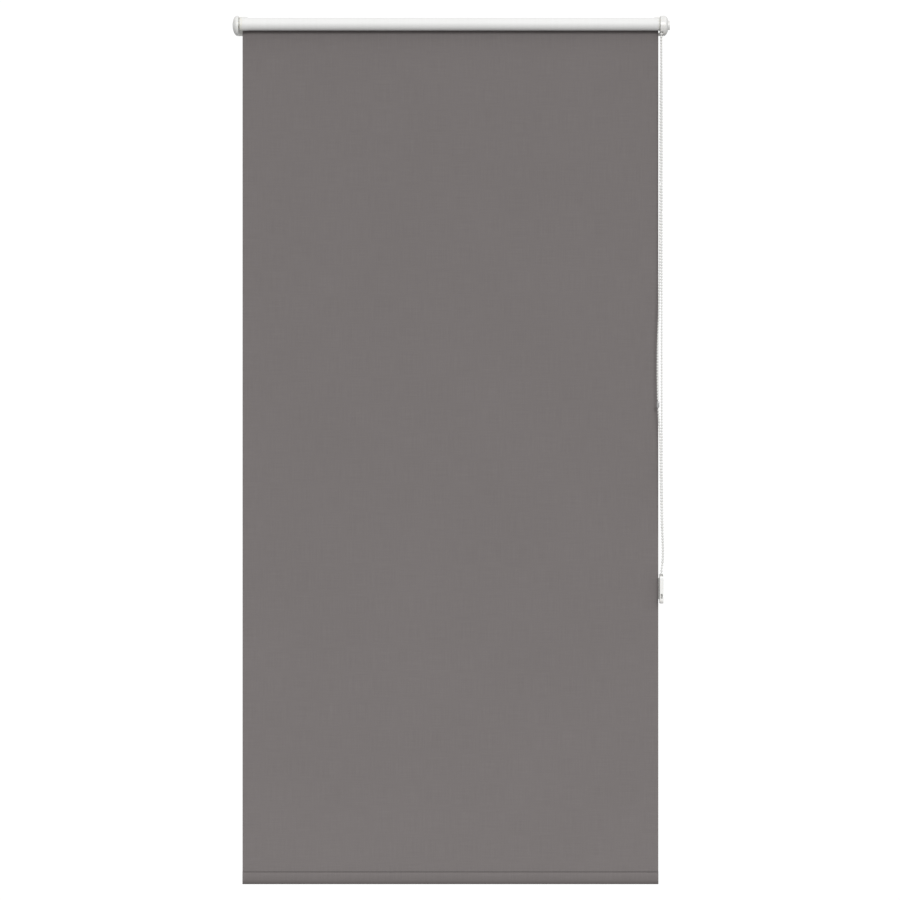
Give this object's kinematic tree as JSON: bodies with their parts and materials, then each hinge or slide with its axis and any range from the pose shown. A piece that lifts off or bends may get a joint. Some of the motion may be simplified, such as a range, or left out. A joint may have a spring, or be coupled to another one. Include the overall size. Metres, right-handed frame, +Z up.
{
  "type": "roller blind",
  "caption": "Chain-driven roller blind: grey blackout fabric wound on a tube between wall brackets, with a hemmed bottom bar and a bead chain held by a wall tensioner.",
  "frame": {"origin": "centre of the four bracket screw holes, on the wall's face", "axes": "+X along the roller towards the chain, +Y into the wall, +Z up"},
  "size_m": [0.9, 0.05, 1.7885],
  "materials": {
    "bracket_plastic": "smooth white moulded plastic",
    "cover_plastic": "satin white moulded plastic",
    "nylon": "off-white nylon",
    "tube_metal": "mill-finish tube",
    "spring_steel": "bright drawn wire and turned steel",
    "zinc_steel": "zinc-plated steel",
    "fabric_face": "plain woven polyester, grey room side",
    "fabric_back": "white blackout coating, wall side",
    "tape": "double-sided tape",
    "bar_metal": "white painted extrusion",
    "chain_plastic": "white moulded beads on a cord",
    "joiner_plastic": "grey translucent plastic",
    "tensioner_plastic": "white moulded plastic"
  },
  "bodies": {
    "mounting": {"left_bracket": "bracket_plastic", "left_cover": "cover_plastic", "idle_bush": "nylon", "right_bracket": "bracket_plastic", "right_cover": "cover_plastic", "drive_core": "nylon", "core_clip": "zinc_steel", "core_screw": "zinc_steel", "chain_guard": "cover_plastic", "chain_wrap": "chain_plastic", "pull_chain": "chain_plastic", "chain_joiner": "joiner_plastic", "tensioner_case": "tensioner_plastic", "tensioner_base": "tensioner_plastic", "tensioner_pin": "zinc_steel", "fabric_drop": "fabric_face"},
    "roller": {"roller_tube": "tube_metal", "fabric_tape": "tape", "fabric_roll": "fabric_back", "end_plug": "nylon", "pin_spring": "spring_steel", "pin_retainer": "nylon", "tube_adapter": "nylon", "wrap_spring_inner": "spring_steel", "wrap_spring_outer": "spring_steel"},
    "idle_pin": {"idle_pin": "zinc_steel"},
    "sprocket": {"sprocket": "nylon"},
    "bottom_bar": {"bottom_bar": "bar_metal", "bar_cap_left": "nylon", "bar_cap_right": "nylon", "fabric_hem": "fabric_face"},
    "tensioner_wheel": {"tensioner_wheel": "nylon"}
  },
  "joints": [
    {"name": "bar_slide", "type": "slide", "parent": "mounting", "child": "bottom_bar", "axis": [0, 0, 1], "range_m": [0, 1.7], "deforming": ["fabric_drop"]},
    {"name": "roller_spin", "type": "hinge", "parent": "mounting", "child": "roller", "pos_m": [0, -0.03, 0.0025], "axis": [1, 0, 0], "range_deg": [0, 7470]},
    {"name": "sprocket_spin", "type": "hinge", "parent": "mounting", "child": "sprocket", "pos_m": [0.4326, -0.03, 0.0025], "axis": [1, 0, 0], "range_deg": [0, 7470]},
    {"name": "wheel_spin", "type": "hinge", "parent": "mounting", "child": "tensioner_wheel", "pos_m": [0.4326, -0.03, -1.17308], "axis": [1, 0, 0], "range_deg": [0, 7470]},
    {"name": "pin_slide", "type": "slide", "parent": "roller", "child": "idle_pin", "axis": [1, 0, 0], "range_m": [0, 0.005], "stiffness_N_per_m": 300, "springref_m": -0.003, "deforming": ["pin_spring"]}
  ],
  "couplings": [
    {"joint": "roller_spin", "follows": "bar_slide", "rad_per_m": 76.628},
    {"joint": "sprocket_spin", "follows": "bar_slide", "rad_per_m": 76.628},
    {"joint": "wheel_spin", "follows": "bar_slide", "rad_per_m": 76.628}
  ]
}
